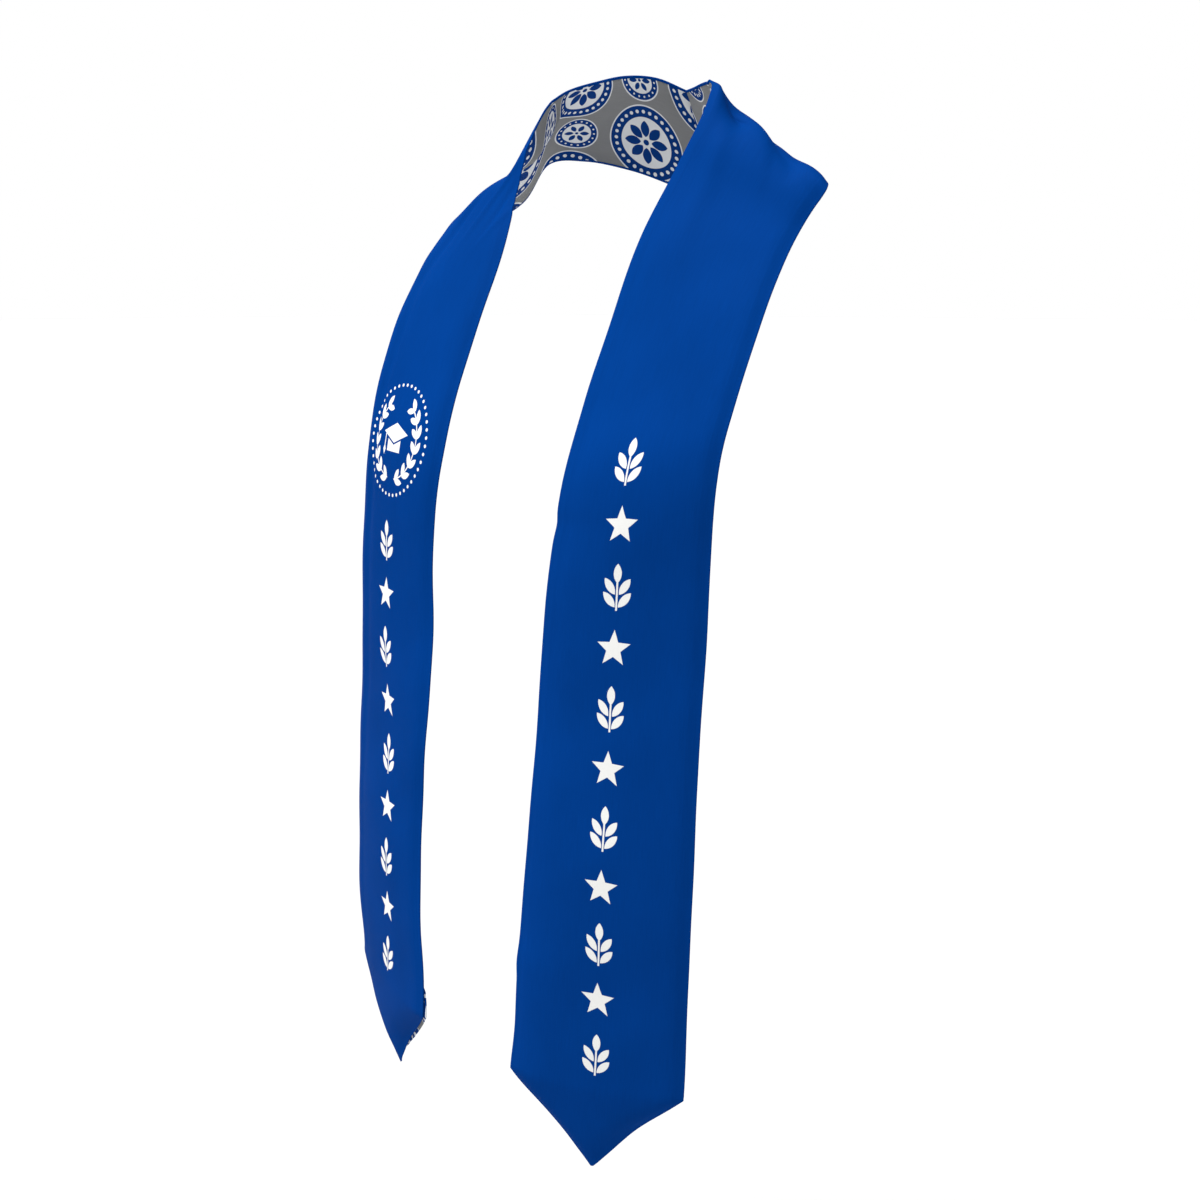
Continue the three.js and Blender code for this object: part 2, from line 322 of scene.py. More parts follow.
class StoleStage(bpy.types.PropertyGroup):
    """Floor, lights and camera"""

    floor_drop: length_property("Floor drop", "Height of the tips above the floor", 0.45)
    floor_size: length_property("Floor size", "Width of the floor", 160.0)
    floor_colour: colour_property("Floor", "Pale floor", (0.58, 0.58, 0.58))
    fill: FloatProperty(
        name="Fill", description="Strength of the even light all round", default=0.25, min=0
    )
    key: FloatProperty(
        name="Key light", description="Strength of the broad light", default=5.4, min=0
    )
    key_azimuth: FloatProperty(
        name="Key azimuth", description="The key light's turn round the stole",
        default=math.radians(-42), subtype="ANGLE",
    )
    key_height: FloatProperty(
        name="Key height", description="The key light's angle above the floor",
        default=math.radians(68), subtype="ANGLE",
    )
    key_breadth: FloatProperty(
        name="Key breadth", description="How wide the key light looks from the stole",
        default=math.radians(60), subtype="ANGLE",
    )
    camera_place: FloatVectorProperty(
        name="Camera", description="Where the camera stands", default=(0.7015, -0.803, -0.112),
        subtype="TRANSLATION",
    )
    camera_azimuth: FloatProperty(
        name="Azimuth", description="The camera's turn round the stole",
        default=math.radians(42), subtype="ANGLE",
    )
    camera_pitch: FloatProperty(
        name="Pitch", description="How far the camera looks down",
        default=math.radians(12), subtype="ANGLE",
    )
    lens: FloatProperty(
        name="Lens", description="Focal length in millimetres on a 36 mm sensor", default=42.0
    )


# Shape of the cloth


def place_rows(side, cut):
    """One side's rows, each with its point on the neck edge and its cut width."""
    collar = named(COLLAR_COLUMNS, COLLAR_ROWS[side])
    front = named(FRONT_COLUMNS, FRONT_ROWS)
    for row in collar:
        row["neck"] = np.array((
            row["out"] * cut.neck_half_width,
            row["back"] * cut.neck_back,
            row["rise"] * cut.collar_rise,
        ))
        row["width"] = cut.neck_width + row["flare"] * (cut.shoulder_width - cut.neck_width)
    for row in front:
        row["neck"] = np.array((
            row["inset"] * cut.neck_half_width,
            -row["fore"] * cut.chest_depth,
            -row["drop"] * cut.front_drop,
        ))
    line = [collar[-1]["neck"]] + [row["neck"] for row in front]
    steps = np.linalg.norm(np.diff(line, axis=0), axis=1)
    for row, share in zip(front, np.cumsum(steps) / steps.sum()):
        row["width"] = cut.shoulder_width + share * (cut.end_width - cut.shoulder_width)
    return collar + front


def outer_point(row):
    """A row's point on the outer edge."""
    heading = math.radians(row["heading"])
    fall = math.radians(row["fall"])
    direction = np.array((
        math.cos(fall) * math.cos(heading),
        math.cos(fall) * math.sin(heading),
        -math.sin(fall),
    ))
    return row["neck"] + direction * row["width"] * row["reach"]


def smooth_curve(points, place):
    """Points of the centripetal Catmull-Rom curve through the rows, at places counted in rows."""
    points = np.array(points)
    line = np.vstack((2 * points[0] - points[1], points, 2 * points[-1] - points[-2]))
    row = np.minimum(place.astype(int), len(points) - 2)
    t = (place - row)[:, None]
    a, b, c, d = (line[row + k] for k in range(4))
    ab, bc, cd = (
        np.sqrt(np.linalg.norm(end - start, axis=1, keepdims=True))
        for start, end in ((a, b), (b, c), (c, d))
    )
    leave = bc * ((b - a) / ab - (c - a) / (ab + bc) + (c - b) / bc)
    arrive = bc * ((c - b) / bc - (d - b) / (bc + cd) + (d - c) / cd)
    square = 3 * (c - b) - 2 * leave - arrive
    cube = 2 * (b - c) + leave + arrive
    return b + leave * t + square * t**2 + cube * t**3


def unit(vectors):
    """Vectors brought to length 1."""
    return vectors / np.linalg.norm(vectors, axis=-1, keepdims=True)


class Band:
    """One side of the stole as a draped face, from the centre back to the tip of its point."""

    def __init__(self, side, cut, cloth):
        self.side = side
        self.cloth = cloth
        rows = place_rows(side, cut)
        neck_rows = [row["neck"] for row in rows]
        outer_rows = [outer_point(row) for row in rows]
        self.place = self.spaced_places(neck_rows, outer_rows)
        self.neck = smooth_curve(neck_rows, self.place)
        self.outer = smooth_curve(outer_rows, self.place)
        self.belly = np.interp(self.place, range(len(rows)), [row["belly"] for row in rows])
        self.add_point(cut)
        self.stray(cut)
        self.count = len(self.place)
        self.here = np.arange(self.count)[:, None]
        self.before = np.maximum(self.here - 1, 0)
        self.after = np.minimum(self.here + 1, self.count - 1)
        self.chord = self.outer - self.neck
        self.width = np.linalg.norm(self.chord, axis=1)
        both = self.neck + self.outer
        travel = both[self.after[:, 0]] - both[self.before[:, 0]]
        steps = np.linalg.norm(np.diff(both / 2, axis=0), axis=1)
        self.run = np.concatenate(([0], np.cumsum(steps)))
        self.up = self.evened(unit(np.cross(travel, self.chord)), cloth.bend)

    def evened(self, directions, reach):
        """Directions averaged along the band, and past the centre seam, so that none cross."""
        spacing = np.gradient(self.run)[None, :]
        here, there = self.run[:, None], self.run[None, :]
        own = np.exp(-(((here - there) / reach) ** 2)) * spacing
        mirrored = np.exp(-(((here + there) / reach) ** 2)) * spacing
        return unit(own @ directions + mirrored @ (directions * (-1, 1, 1)))

    def spaced_places(self, neck_rows, outer_rows):
        """Places along the rows, a grid step apart or less, and closer by the centre seam."""
        places = []
        for i in range(len(neck_rows) - 1):
            reach = max(
                np.linalg.norm(line[i + 1] - line[i]) for line in (neck_rows, outer_rows)
            )
            count = math.ceil(reach / self.cloth.grid)
            places += [i + k / count for k in range(count)]
        places += [share * places[1] for share in SEAM_STEPS]
        return np.array(sorted(places) + [len(neck_rows) - 1.0])

    def add_point(self, cut):
        """Sections from the corners to the tip."""
        corner_neck, corner_outer = self.neck[-1], self.outer[-1]
        lean = cut.left_lean if self.side == "left" else cut.right_lean
        tip = (corner_neck + corner_outer) / 2 + np.array((-lean, 0, -cut.point_length))
        half = unit(corner_outer - corner_neck) * cut.tip_width / 2
        count = math.ceil(cut.point_length / self.cloth.grid)
        share = (np.arange(count) + 1)[:, None] / count
        self.place = np.concatenate((self.place, self.place[-1] + share[:, 0]))
        self.neck = np.vstack((self.neck, corner_neck + (tip - half - corner_neck) * share))
        self.outer = np.vstack((self.outer, corner_outer + (tip + half - corner_outer) * share))
        self.belly = np.concatenate((self.belly, np.full(count, self.belly[-1])))

    def stray(self, cut):
        """Moves the edges off their even lines where the cloth wanders."""
        for row in named(EDGE_COLUMNS, EDGE_ROWS[self.side]):
            beyond = self.place - row["at"]
            along = beyond / np.where(beyond < 0, row["back"], row["fore"])
            strength = (cut.end_width * np.exp(-along**2))[:, None]
            out = unit(self.outer - self.neck) * row["shift"] * strength
            down = np.array((0, 0, -row["sag"])) * strength
            if row["edge"] == "neck":
                self.neck = self.neck - out + down
            else:
                self.outer = self.outer + out + down

    def lift(self, index, share):
        """How far folds, rolls and waves raise the face above the straight chord."""
        width = self.width[index]
        place = self.place[index]
        total = 4 * share * (1 - share) * self.belly[index] * width
        for fold in named(FOLD_COLUMNS, FOLD_ROWS[self.side]):
            beyond = place - fold["at"]
            along = beyond / np.where(beyond < 0, fold["back"], fold["fore"])
            across = (share - fold["across"] - fold["slant"] * beyond) / fold["spread"]
            total = total + fold["lift"] * width * np.exp(-along**2 - across**2)
        down = np.clip(place - CORNER_ROW, 0, 1)
        tip = down**TIP_POWER
        total = total - self.cloth.tip_curl * tip
        for edge, inset in (("neck", share * width), ("outer", (1 - share) * width)):
            total = total - self.cloth.edge_roll * np.exp(-((inset / self.cloth.roll_width) ** 2))
            curl, reach = POINT_CURLS[self.side][edge]
            strength = down * (2 - down) * (1 - tip)
            total = total - curl * strength * np.exp(-((inset / reach) ** 2))
            beyond = (inset - self.cloth.hem_width) / self.cloth.hem_width
            total = total + self.cloth.hem_ridge * np.exp(-(beyond**2))
        return total + self.waves(self.run[index], share, width)

    def waves(self, run, share, width):
        """Slow waves of the hanging cloth, none of them at the centre seam."""
        total = 0
        for wave in named(WAVE_COLUMNS, WAVE_ROWS[self.side]):
            turns = run / wave["length"] + share * width / wave["breadth"] + wave["start"]
            total = total + wave["height"] * np.sin(TURN * turns)
        return total * self.cloth.wave * np.minimum(run / SEAM_CALM, 1)

    def slip(self):
        """How far the lining is out past the hem in each section, and its share of the way behind."""
        out = np.zeros((self.count, 1))
        behind = np.zeros((self.count, 1))
        for row in named(SLIP_COLUMNS, SLIP_ROWS[self.side]):
            share = (self.place[:, None] - row["start"]) / (row["end"] - row["start"])
            rise = np.clip(np.minimum(share, 1 - share), 0, 1) / SLIP_RISE
            behind = np.maximum(behind, np.clip(2 * rise, 0, 1))
            out = np.maximum(out, np.clip(2 * rise - 1, 0, 1) * row["out"])
        return out, behind

    def face(self, index, share):
        """Points of the outside face, at shares of the width from the neck edge."""
        lift = self.lift(index, share)[..., None]
        return self.neck[index] + self.chord[index] * share[..., None] + self.up[index] * lift

    def normals(self, share):
        """The outward directions at shares of the width. At the seam they lie in its plane."""
        step = 0.01
        across = self.face(self.here, share + step) - self.face(self.here, share - step)
        travel = self.face(self.after, share) - self.face(self.before, share)
        normal = np.cross(travel, across)
        normal[0, :, 0] = 0
        return unit(normal)

    def loft(self, inset, depth):
        """Points at distances in from the neck edge and depths below the outside face.

        None of them lies past the plane of the centre seam, where the two halves meet.
        """
        share = inset / self.width[:, None]
        points = self.face(self.here, share) - self.normals(share) * depth[..., None]
        points[..., 0] = np.maximum(points[..., 0], np.minimum(self.run, SEAM_REACH)[:, None] / 2)
        points[0, :, 0] = 0
        return points


def eased(count):
    """Shares from 0 to 1, closer together at both ends."""
    t = np.linspace(0, 1, count + 1)
    return t - EASING * np.sin(TURN * t) / TURN


def columns(band, *parts):
    """Parts of an outline side by side, each repeated for every section where it doesn't vary."""
    parts = [np.atleast_2d(part) for part in parts]
    return np.hstack([np.broadcast_to(part, (band.count, part.shape[1])) for part in parts])


def lip_width(band, cloth):
    """Width of the satin's lip in each section."""
    return np.minimum(cloth.hem_lip, LIP_SHARE * band.width[:, None])


def shell_outline(band, cloth):
    """The satin's section: full width outside, round edges, and a lip turned to the inside."""
    total = cloth.shell_wall + cloth.gap + cloth.lining_wall
    radius = total / 2
    width = band.width[:, None]
    lip = lip_width(band, cloth)
    turn = np.linspace(0, math.pi, HEM_FACES + 1)[1:-1]
    across = eased(cloth.columns)
    flat = np.ones_like(across)
    inset = columns(
        band,
        radius + (width - 2 * radius) * across,
        width - radius + radius * np.sin(turn),
        width - radius,
        width - lip,
        lip + (width - 2 * lip) * across[::-1],
        lip,
        radius,
        radius - radius * np.sin(turn),
    )
    depth = columns(
        band,
        seam_groove(band, cloth) * flat,
        radius - radius * np.cos(turn),
        total,
        total,
        cloth.shell_wall * flat,
        total,
        total,
        radius + radius * np.cos(turn),
    )
    return inset, depth


def lining_outline(band, cloth):
    """The lining's section, between the lips of the satin."""
    top = cloth.shell_wall + cloth.gap
    total = top + cloth.lining_wall
    width = band.width[:, None]
    margin = lip_width(band, cloth) + cloth.gap
    out, behind = band.slip()
    slipped = margin - (margin + out) * (out > 0)
    across = eased(cloth.columns)
    towards_shell = slipped + (width - margin - slipped) * across
    inset = columns(band, towards_shell, towards_shell[:, ::-1])
    nearness = np.clip(1 - (towards_shell - margin) / SLIP_REACH, 0, 1)
    sink = behind * (cloth.lining_wall + 2 * cloth.gap) * nearness * nearness * (3 - 2 * nearness)
    depth = columns(band, top + sink, (total - seam_groove(band, cloth) + sink)[:, ::-1])
    return inset, depth


def seam_groove(band, cloth):
    """Depth of the groove along the centre-back seam, for each section."""
    return cloth.seam_dip * np.exp(-((band.run[:, None] / cloth.seam_width) ** 2))


def tube_faces(rows, around):
    """Faces of a tube through sections of so many points, with one over each end."""
    faces = []
    for start in range(0, (rows - 1) * around, around):
        for k in range(around):
            a, b = start + k, start + (k + 1) % around
            faces.append((a, a + around, b + around, b))
    last = range((rows - 1) * around, rows * around)
    return faces + [tuple(range(around)), tuple(reversed(last))]


def build_mesh(name, band, outline):
    """A closed mesh lofted through one outline for each section, with its flat coordinates."""
    inset, depth = outline
    points = band.loft(inset, depth)
    faces = tube_faces(*inset.shape)
    if band.side == "right":
        points[..., 0] *= -1
        faces = [face[::-1] for face in faces]
    mesh = bpy.data.meshes.new(name)
    mesh.from_pydata(points.reshape(-1, 3).tolist(), [], faces)
    width = band.width[:, None]
    add_flat_map(mesh, "cut", band.run[:, None] * np.ones_like(inset), inset - width / 2)
    add_flat_map(mesh, "edge", np.minimum(inset, width - inset), depth)
    mesh.shade_smooth()
    mesh.set_sharp_from_angle(angle=CREASE)
    return mesh


def add_flat_map(mesh, name, first, second):
    """Gives each point of the mesh two flat coordinates, in metres."""
    flat = np.dstack((first, second)).reshape(-1, 2).astype(np.float32)
    corners = np.empty(len(mesh.loops), dtype=np.int32)
    mesh.loops.foreach_get("vertex_index", corners)
    layer = mesh.uv_layers.new(name=name)
    layer.uv.foreach_set("vector", flat[corners].ravel())


# Shader maths


class Value:
    """A socket that takes part in sums, so that shader maths reads as Python."""

    def __init__(self, finish, socket):
        self.finish = finish
        self.socket = socket

    def math(self, operation, first, second=0.0, **settings):
        settings["operation"] = operation
        return self.finish.node("ShaderNodeMath", settings, {0: first, 1: second})

    def __add__(self, other):
        return self.math("ADD", self, other)

    def __sub__(self, other):
        return self.math("SUBTRACT", self, other)

    def __rsub__(self, other):
        return self.math("SUBTRACT", other, self)

    def __mul__(self, other):
        return self.math("MULTIPLY", self, other)

    def __truediv__(self, other):
        return self.math("DIVIDE", self, other)

    def __mod__(self, other):
        return self.math("FLOORED_MODULO", self, other)

    def __neg__(self):
        return self.math("SUBTRACT", 0.0, self)

    def __abs__(self):
        return self.math("ABSOLUTE", self)

    __radd__ = __add__
    __rmul__ = __mul__

    def least(self, other):
        return self.math("MINIMUM", self, other)

    def most(self, other):
        return self.math("MAXIMUM", self, other)

    def limited(self):
        """Held between 0 and 1."""
        return self.math("ADD", self, 0.0, use_clamp=True)

    def cosine(self):
        return self.math("COSINE", self)

    def sine(self):
        return self.math("SINE", self)

    def root(self):
        return self.math("SQRT", self)

    def turn_from(self, other):
        """The angle whose tangent is this value over the other one."""
        return self.math("ARCTAN2", self, other)

    def below(self, limit):
        """1 where this value is under the limit, else 0."""
        return self.math("LESS_THAN", self, limit)

    def wrapped(self, period):
        """This value brought to within half a period of 0."""
        return (self + period / 2) % period - period / 2


class Finish:
    """A material and the nodes that give it its look."""

    def __init__(self, name):
        self.material = bpy.data.materials.new(name)
        self.material.use_nodes = True
        self.tree = self.material.node_tree
        self.tree.nodes.clear()

    def node(self, kind, settings, values, output=0):
        """Adds a node: its settings first, then the numbers or links of its sockets."""
        made = self.tree.nodes.new(kind)
        for name, setting in settings.items():
            setattr(made, name, setting)
        for name, value in values.items():
            if isinstance(value, Value):
                self.tree.links.new(value.socket, made.inputs[name])
            else:
                made.inputs[name].default_value = value
        return Value(self, made.outputs[output]) if made.outputs else None

    def flat(self, layer):
        """The two coordinates of a flat map, in millimetres."""
        place = self.node("ShaderNodeUVMap", {"uv_map": layer}, {})
        return [
            self.node("ShaderNodeSeparateXYZ", {}, {0: place}, output=axis) / MM
            for axis in (0, 1)
        ]

    def blend(self, mask, under, over):
        """Colour over where the mask is 1, else colour under."""
        settings = {"data_type": "RGBA"}
        return self.node("ShaderNodeMix", settings, {0: mask, 6: under, 7: over}, output=2)

    def grain(self, vector, scale, detail):
        """Smooth noise round 0, from about -1 to 1."""
        values = {"Vector": vector, "Scale": scale, "Detail": detail}
        return self.node("ShaderNodeTexNoise", {}, values) * 2 - 1

    def streaks(self, along, across, long, wide, seed):
        """Noise drawn out along the cloth, with streaks of a length and width."""
        place = self.node("ShaderNodeCombineXYZ", {}, {0: along / long, 1: across / wide, 2: seed})
        return self.grain(place, scale=1.0, detail=2.0)

    def surface(self, colour, roughness, height, constants):
        """The cloth's shader, with its relief in millimetres."""
        values = {"Height": height * MM, "Strength": 1.0, "Distance": 1.0}
        normal = self.node("ShaderNodeBump", {}, values)
        values = {"Base Color": colour, "Roughness": roughness, "Normal": normal, **constants}
        shader = self.node("ShaderNodeBsdfPrincipled", {}, values)
        self.node("ShaderNodeOutputMaterial", {}, {"Surface": shader})
        return self.material


def inked(distance, soft=0.25):
    """A mask that is 1 inside a shape and 0 outside, with an edge softened over millimetres."""
    return (0.5 - distance * (1 / soft)).limited()


def spread(x, y):
    """The distance of a point from the middle."""
    return (x * x + y * y).root()


def star(x, y, tips, outer, inner):
    """Distance outside a star whose first tip is up."""
    half = math.pi / tips
    fold = abs(x.turn_from(y).wrapped(2 * half))
    reach = spread(x, y)
    side = math.hypot(inner * math.sin(half), inner * math.cos(half) - outer)
    normal_up = inner * math.sin(half) / side
    normal_out = (outer - inner * math.cos(half)) / side
    return reach * fold.cosine() * normal_up + reach * fold.sine() * normal_out - outer * normal_up


def lozenge(x, y, half_width, half_height):
    """Distance outside a lozenge."""
    scale = 1 / math.hypot(1 / half_width, 1 / half_height)
    return (abs(x) / half_width + abs(y) / half_height - 1) * scale


def block(x, y, half_width, half_height):
    """Distance outside an upright block, measured square to its sides."""
    return (abs(x) - half_width).most(abs(y) - half_height)


def leaf(x, y, middle, tilt, half_length, half_width):
    """Distance outside a leaf that leans to the right of upright by a tilt in degrees."""
    turn = math.radians(tilt)
    right, up = x - middle[0], y - middle[1]
    along = right * math.sin(turn) + up * math.cos(turn)
    aside = right * math.cos(turn) - up * math.sin(turn)
    bow = (half_length**2 + half_width**2) / (2 * half_width)
    return spread(along, abs(aside) + (bow - half_width)) - bow


# The leaves and stem of a sprig as high as SPRIG_HEIGHT, in millimetres and degrees. A leaf's
# middle is out to either side and up from the middle of the sprig.
SPRIG_HEIGHT = 31
LEAF_COLUMNS = ("out", "up", "tilt", "half_length", "half_width")
LEAF_ROWS = (
    (5.6, -8.2, 42, 6.6, 2.7),
    (5.4, 0.6, 36, 6.6, 2.7),
    (0.0, 9.2, 0, 6.4, 2.9),
)
STEM_MIDDLE = -5.6
STEM_HALF_WIDTH = 0.65
STEM_HALF_HEIGHT = 9.8


def sprig(x, y, height):
    """Distance outside a small upright sprig of five leaves."""
    side = abs(x)
    size = height / SPRIG_HEIGHT
    shape = block(
        side, y - STEM_MIDDLE * size, STEM_HALF_WIDTH * size, STEM_HALF_HEIGHT * size
    )
    for row in named(LEAF_COLUMNS, LEAF_ROWS):
        middle = (row["out"] * size, row["up"] * size)
        halves = (row["half_length"] * size, row["half_width"] * size)
        shape = shape.least(leaf(side, y, middle, row["tilt"], *halves))
    return shape


# The cap in millimetres: each part's form, how far its middle is to the right and up, and its
# half width and half height. The crown keeps a gap below the board.
CAP_PARTS = {
    "board": (lozenge, 0.0, 4.5, 18.0, 7.6),
    "crown": (block, 0.0, -3.6, 9.6, 6.2),
    "cord": (block, 14.2, -1.6, 0.6, 6.0),
    "tassel": (lozenge, 14.2, -9.0, 2.0, 4.2),
}
CROWN_GAP = 1.4


def graduation_cap(x, y):
    """Distance outside a flat square cap with a tassel."""
    parts = {
        name: form(x - right, y - up, half_width, half_height)
        for name, (form, right, up, half_width, half_height) in CAP_PARTS.items()
    }
    crown = parts["crown"].most(CROWN_GAP - parts["board"])
    return parts["board"].least(crown).least(parts["cord"]).least(parts["tassel"])


# A wreath's pairs of leaves stand a step apart on each branch, beside a thin stalk. A leaf's
# middle is out from the stalk. Sizes are in millimetres.
WREATH_STEP = math.radians(21)
WREATH_STEPS = 7
WREATH_LEAF = {"middle": (3.0, 0.0), "tilt": 30, "half_length": 5.3, "half_width": 2.4}
STALK_HALF_WIDTH = 0.55


def wreath(x, y, radius):
    """Distance outside two curved branches of leaves that meet at the bottom."""
    aside = abs(spread(x, y) - radius)
    turn = abs(x).turn_from(-y)
    leaves = leaf(aside, turn.wrapped(WREATH_STEP) * radius, **WREATH_LEAF)
    length = WREATH_STEPS * WREATH_STEP
    stalk = (aside - STALK_HALF_WIDTH).most((turn - length) * radius)
    half_step = WREATH_STEP / 2
    ends = (half_step - turn).most(turn - (length + half_step)) * radius
    return leaves.least(stalk).most(ends)


def beads(x, y, radius, count, size):
    """Distance outside a ring of round beads."""
    turn = x.turn_from(y).wrapped(TURN / count)
    return spread(turn * radius, spread(x, y) - radius) - size


def petals(x, y, count, inner, outer, half_width):
    """Distance outside a rosette of pointed petals."""
    fold = x.turn_from(y).wrapped(TURN / count)
    reach = spread(x, y)
    x, y = reach * fold.sine(), reach * fold.cosine()
    return leaf(x, y, (0, (inner + outer) / 2), 0, (outer - inner) / 2, half_width)


# Finishes


# Streaks of dye and yarn: their length and width in millimetres, and a seed
STREAKS = {
    "satin cloud": (70, 45, 5.0),
    "satin slub": (16, 0.9, 8.0),
    "lining cloud": (60, 50, 3.0),
    "lining slub": (12, 0.9, 6.0),
    "weave slub": (9.0, 0.7, 2.0),
}

# The weave in millimetres: spacing of its floats across and along the cloth and of its ribs
# along it, and the height of each
FLOAT_ACROSS = 0.42
FLOAT_ALONG = 2.1
RIB_ALONG = 0.5
FLOAT_HEIGHT = 0.008
RIB_HEIGHT = 0.004
SLUB_HEIGHT = 0.010

# Puckers beside a hem: their spacing in millimetres, and how far the clouds shift them in radians
PUCKER_PITCH = 3.1
PUCKER_WANDER = 3

# How much of each part goes into a cloth's tone between its darkest and lightest shade, into its
# roughness, and into its relief in millimetres. Plain is what it has everywhere. The shades are
# shares of its dye, and the gloss is the strength of its shine.
# The seam part is painted shade: it darkens the satin in the groove along the centre seam.
SATIN_TONE = {"plain": 0.5, "cloud": 0.22, "slub": 0.20, "hem": 0.18, "seam": -0.45}
SATIN_ROUGHNESS = {"plain": 0.50, "slub": 0.05, "hem": 0.08, "print": 0.10}
SATIN_RELIEF = {"weave": 1.0, "print": 0.03, "allowance": 0.10, "pucker": 0.03}
SATIN_SHADES = (0.78, 1.25)
SATIN_GLOSS = 0.0025
# The lining's hem part is painted shadow: it darkens the crease beside the satin's lip.
LINING_TONE = {"plain": 0.5, "cloud": 0.25, "slub": 0.18, "hem": -0.4}
LINING_ROUGHNESS = {"plain": 0.62, "slub": 0.05}
LINING_RELIEF = {"weave": 1.0, "pucker": 0.05}
LINING_SHADES = (0.80, 1.20)
LINING_GLOSS = 0.03
PAPER_ROUGHNESS = {"plain": 0.9, "grain": 0.02}
PAPER_RELIEF = 0.02
PAPER_SHADES = (0.99, 1.01)
PAPER_GLOSS = 0.1

# Where the satin's parts lie, in millimetres in from the hem or from the centre seam: its tinted
# edges, the painted shade along the seam's groove, its turned allowance, which ends over a step, and
# its puckers. Ink lies on the outside, so only above a depth, and flattens a share of the weave.
HEM_TINT = 2.2
SEAM_SHADE = 1.6
ALLOWANCE = 9.5
ALLOWANCE_STEP = 1.25
SATIN_PUCKER = 5
INK_DEPTH = 0.4
INK_FILL = 0.6

# The lining's hem, darkened by painted shadow in the crease by the satin's lip, in millimetres in
# from the satin's edge: the middle and half width of that shadow, and the reach of the hem's puckers
LINING_HEM = 1.9
LINING_HEM_SHADE_WIDTH = 1.5
LINING_PUCKER = 4


def dyed(colour, strength=1.0):
    """A colour made darker or lighter, with its alpha."""
    return tuple(min(1, part * strength) for part in colour) + (1,)


def mixture(amounts, parts):
    """The sum of the named amounts of the parts."""
    total = amounts.get("plain", 0)
    for name, amount in amounts.items():
        if name != "plain":
            total = total + parts[name] * amount
    return total


def satin_weave(finish, along, across):
    """Relief of the satin's floats, ribs and slubs, in millimetres."""
    floats = (across * (TURN / FLOAT_ACROSS) + along * (TURN / FLOAT_ALONG)).sine()
    ribs = (along * (TURN / RIB_ALONG)).sine()
    slubs = finish.streaks(along, across, *STREAKS["weave slub"])
    return floats * FLOAT_HEIGHT + ribs * RIB_HEIGHT + slubs * SLUB_HEIGHT


def hem_pucker(along, cloud, nearness):
    """Small puckers along a hem's stitches, where nearness is above 0."""
    return (along * (TURN / PUCKER_PITCH) + cloud * PUCKER_WANDER).sine() * nearness.limited()


def satin_finish(side, colours, prints):
    """Royal blue satin with the marks of its side."""
    finish = Finish("satin_" + side)
    along, across = finish.flat("cut")
    edge, depth = finish.flat("edge")
    printed = PRINTS[side](along, across, prints) * depth.below(INK_DEPTH)
    cloud = finish.streaks(along, across, *STREAKS["satin cloud"])
    parts = {
        "cloud": cloud,
        "slub": finish.streaks(along, across, *STREAKS["satin slub"]),
        "hem": (1 - edge / HEM_TINT).limited(),
        # Painted shade in the groove along the centre seam
        "seam": (1 - along / SEAM_SHADE).limited(),
        "print": printed,
        "allowance": ((ALLOWANCE - edge) / ALLOWANCE_STEP).limited(),
        "pucker": hem_pucker(along, cloud, 1 - edge / SATIN_PUCKER),
        "weave": satin_weave(finish, along, across) * (1 - printed * INK_FILL),
    }
    shades = [dyed(colours.satin, strength) for strength in SATIN_SHADES]
    cloth = finish.blend(mixture(SATIN_TONE, parts).limited(), *shades)
    colour = finish.blend(printed, cloth, dyed(colours.ink))
    roughness = mixture(SATIN_ROUGHNESS, parts)
    relief = mixture(SATIN_RELIEF, parts)
    return finish.surface(colour, roughness, relief, {"Specular IOR Level": SATIN_GLOSS})


# How the columns of marks lie on the bands, in millimetres. The left one is set aside at a place
# along the band, and leans by one in each run. The right one is set aside all along, and bows
# round its place within a half length.
LEFT_COLUMN = {"aside": 3, "place": 405, "run": 68}
RIGHT_COLUMN = {"aside": -6, "place": 730, "half_length": 150, "bow": 18}
BADGE_ASIDE = 2
STAR_TIPS = 5


def left_marks(along, across, prints):
    """A column of sprigs and stars down the left band."""
    line = LEFT_COLUMN
    across = across + line["aside"] - (along - line["place"]) / line["run"]
    return mark_column(along, across, prints, prints.left_start, prints.left_count)


def right_marks(along, across, prints):
    """A wreath round a cap, above a column of sprigs and stars."""
    line = RIGHT_COLUMN
    beyond = (along - line["place"]) / line["half_length"]
    across = across + (1 - beyond * beyond).limited() * line["bow"] + line["aside"]
    x, y = across + BADGE_ASIDE, prints.badge_place / MM - along
    ring = beads(x, y, prints.bead_ring / MM, prints.bead_count, prints.bead_size / MM)
    badge = wreath(x, y, prints.wreath_radius / MM).least(graduation_cap(x, y)).least(ring)
    column = mark_column(along, across, prints, prints.right_start, prints.right_count)
    return inked(badge).most(column)


def mark_column(along, across, prints, first, count):
    """Sprigs and stars in turn, from the first mark's middle in metres along the band."""
    pitch = prints.mark_pitch / MM
    start = first / MM
    sprig_y = -((along - start).wrapped(2 * pitch))
    star_y = -((along - start - pitch).wrapped(2 * pitch))
    sprigs = sprig(across, sprig_y, prints.mark_size / MM)
    stars = star(across, star_y, STAR_TIPS, prints.star_radius / MM, prints.star_notch / MM)
    middle = start + pitch * (count - 1) / 2
    return inked(sprigs.least(stars)) * abs(along - middle).below(pitch * count / 2)


PRINTS = {"left": left_marks, "right": right_marks}


# Where the lining's print starts on each side, in millimetres along and across, and the petals and
# beads of its two sizes of medallion
LINING_SHIFTS = {"left": (22.0, 9.0), "right": (-46.0, -13.0)}
LARGE_MEDALLION = {"petal_count": 8, "bead_count": 28}
SMALL_MEDALLION = {"petal_count": 6, "bead_count": 18}

